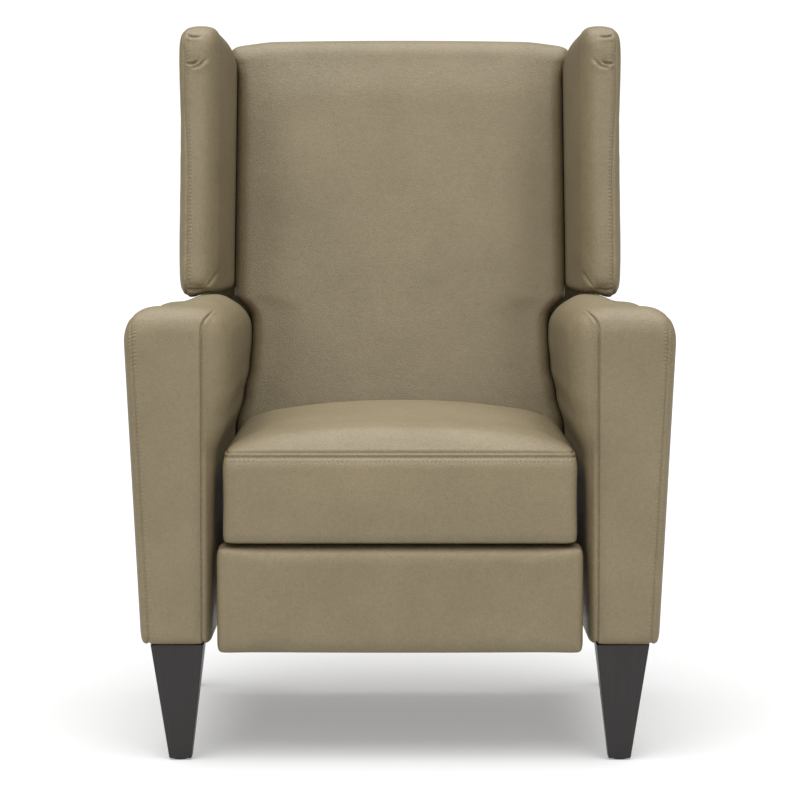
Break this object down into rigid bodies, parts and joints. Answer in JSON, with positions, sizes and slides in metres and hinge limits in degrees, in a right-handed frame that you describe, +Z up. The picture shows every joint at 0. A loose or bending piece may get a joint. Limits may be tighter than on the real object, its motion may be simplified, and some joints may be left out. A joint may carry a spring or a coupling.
{
  "type": "high leg recliner",
  "caption": "Upholstered wing recliner on tall tapered legs, with padded arms, a leaning back that reclines and a footrest that folds out on a steel linkage.",
  "frame": {"origin": "on the floor, midway between the sides and between the front and the rear of the closed chair", "axes": "the chair faces -Y, +X runs to the right as seen from the front, +Z up; lengths in metres"},
  "size_m": [0.8004, 0.8767, 1.0975],
  "materials": {
    "cover": "soft olive taupe hide with a fine pebbled grain and a satin sheen",
    "legs": "hardwood stained a very dark brown, satin lacquer",
    "glides": "dark moulded nylon",
    "timber": "sawn hardwood, unfinished",
    "plywood": "unfinished plywood",
    "steel": "black enamelled steel",
    "fasteners": "zinc plated steel",
    "nylon": "natural nylon",
    "webbing": "black elastic webbing"
  },
  "bodies": {
    "base": {"front_leg_left": "legs", "front_leg_right": "legs", "rear_leg_left": "legs", "rear_leg_right": "legs", "leg_glides": "glides", "leg_bolts": "fasteners", "arm_rails_left": "timber", "arm_rails_right": "timber", "arm_posts_left": "timber", "arm_posts_right": "timber", "arm_panel_left": "plywood", "arm_panel_right": "plywood", "arm_pad_left": "cover", "arm_pad_right": "cover", "front_cross_rail": "timber", "rear_cross_rail": "timber", "slide_channel_left": "steel", "slide_channel_right": "steel", "channel_screws": "fasteners"},
    "seat_carriage": {"side_plate_left": "steel", "side_plate_right": "steel", "slide_shoes": "nylon", "seat_side_rails": "timber", "seat_cross_rails": "timber", "seat_springs": "fasteners", "spring_clips": "fasteners", "seat_cushion": "cover", "carriage_pins": "fasteners"},
    "main_links": {"main_link_left": "steel", "main_link_right": "steel", "main_link_pins": "fasteners", "cross_rod": "steel"},
    "idler_left": {"idler_left": "steel"},
    "idler_right": {"idler_right": "steel"},
    "coupler_left": {"coupler_left": "steel", "coupler_pins_left": "fasteners"},
    "coupler_right": {"coupler_right": "steel", "coupler_pins_right": "fasteners"},
    "control_link_left": {"control_link_left": "steel"},
    "control_link_right": {"control_link_right": "steel"},
    "footrest": {"rest_bracket_left": "steel", "rest_bracket_right": "steel", "rest_pins": "fasteners", "rest_board": "plywood", "rest_pad": "cover"},
    "back": {"back_stile_left": "timber", "back_stile_right": "timber", "back_bracket_left": "steel", "back_bracket_right": "steel", "hinge_pins": "fasteners", "back_rails": "timber", "back_straps": "webbing", "back_cushion": "cover", "outside_back": "cover", "wing_frame_left": "plywood", "wing_frame_right": "plywood", "wing_pad_left": "cover", "wing_pad_right": "cover"}
  },
  "joints": [
    {"name": "seat_slide", "type": "slide", "parent": "base", "child": "seat_carriage", "axis": [0, -1, 0], "range_m": [0, 0.0652]},
    {"name": "footrest_open", "type": "hinge", "parent": "seat_carriage", "child": "main_links", "pos_m": [0, -0.265, 0.3], "axis": [-1, 0, 0], "range_deg": [0, 129.8]},
    {"name": "idler_turn_left", "type": "hinge", "parent": "seat_carriage", "child": "idler_left", "pos_m": [-0.214, -0.2256, 0.307], "axis": [-1, 0, 0], "range_deg": [0, 131]},
    {"name": "idler_turn_right", "type": "hinge", "parent": "seat_carriage", "child": "idler_right", "pos_m": [0.214, -0.2256, 0.307], "axis": [-1, 0, 0], "range_deg": [0, 131]},
    {"name": "coupler_turn_left", "type": "hinge", "parent": "main_links", "child": "coupler_left", "pos_m": [-0.219, -0.1554, 0.19], "axis": [-1, 0, 0], "range_deg": [-128, 0]},
    {"name": "coupler_turn_right", "type": "hinge", "parent": "main_links", "child": "coupler_right", "pos_m": [0.219, -0.1554, 0.19], "axis": [-1, 0, 0], "range_deg": [-128, 0]},
    {"name": "control_turn_left", "type": "hinge", "parent": "main_links", "child": "control_link_left", "pos_m": [-0.229, -0.1379, 0.2168], "axis": [-1, 0, 0], "range_deg": [-135, 0]},
    {"name": "control_turn_right", "type": "hinge", "parent": "main_links", "child": "control_link_right", "pos_m": [0.229, -0.1379, 0.2168], "axis": [-1, 0, 0], "range_deg": [-135, 0]},
    {"name": "footrest_turn", "type": "hinge", "parent": "coupler_right", "child": "footrest", "pos_m": [0.219, -0.362, 0.215], "axis": [-1, 0, 0], "range_deg": [0, 95]},
    {"name": "back_recline", "type": "hinge", "parent": "seat_carriage", "child": "back", "pos_m": [0, 0.16, 0.315], "axis": [-1, 0, 0], "range_deg": [0, 35]}
  ],
  "couplings": [
    {"joint": "seat_slide", "follows": "footrest_open", "m_per_rad": 0.028683},
    {"joint": "idler_turn_left", "follows": "footrest_open", "ratio": 1.0024},
    {"joint": "idler_turn_right", "follows": "footrest_open", "ratio": 1.0024},
    {"joint": "coupler_turn_left", "follows": "footrest_open", "ratio": -0.98159},
    {"joint": "coupler_turn_right", "follows": "footrest_open", "ratio": -0.98159},
    {"joint": "control_turn_left", "follows": "footrest_open", "ratio": -1.0344},
    {"joint": "control_turn_right", "follows": "footrest_open", "ratio": -1.0344},
    {"joint": "footrest_turn", "follows": "footrest_open", "ratio": 0.72867}
  ]
}
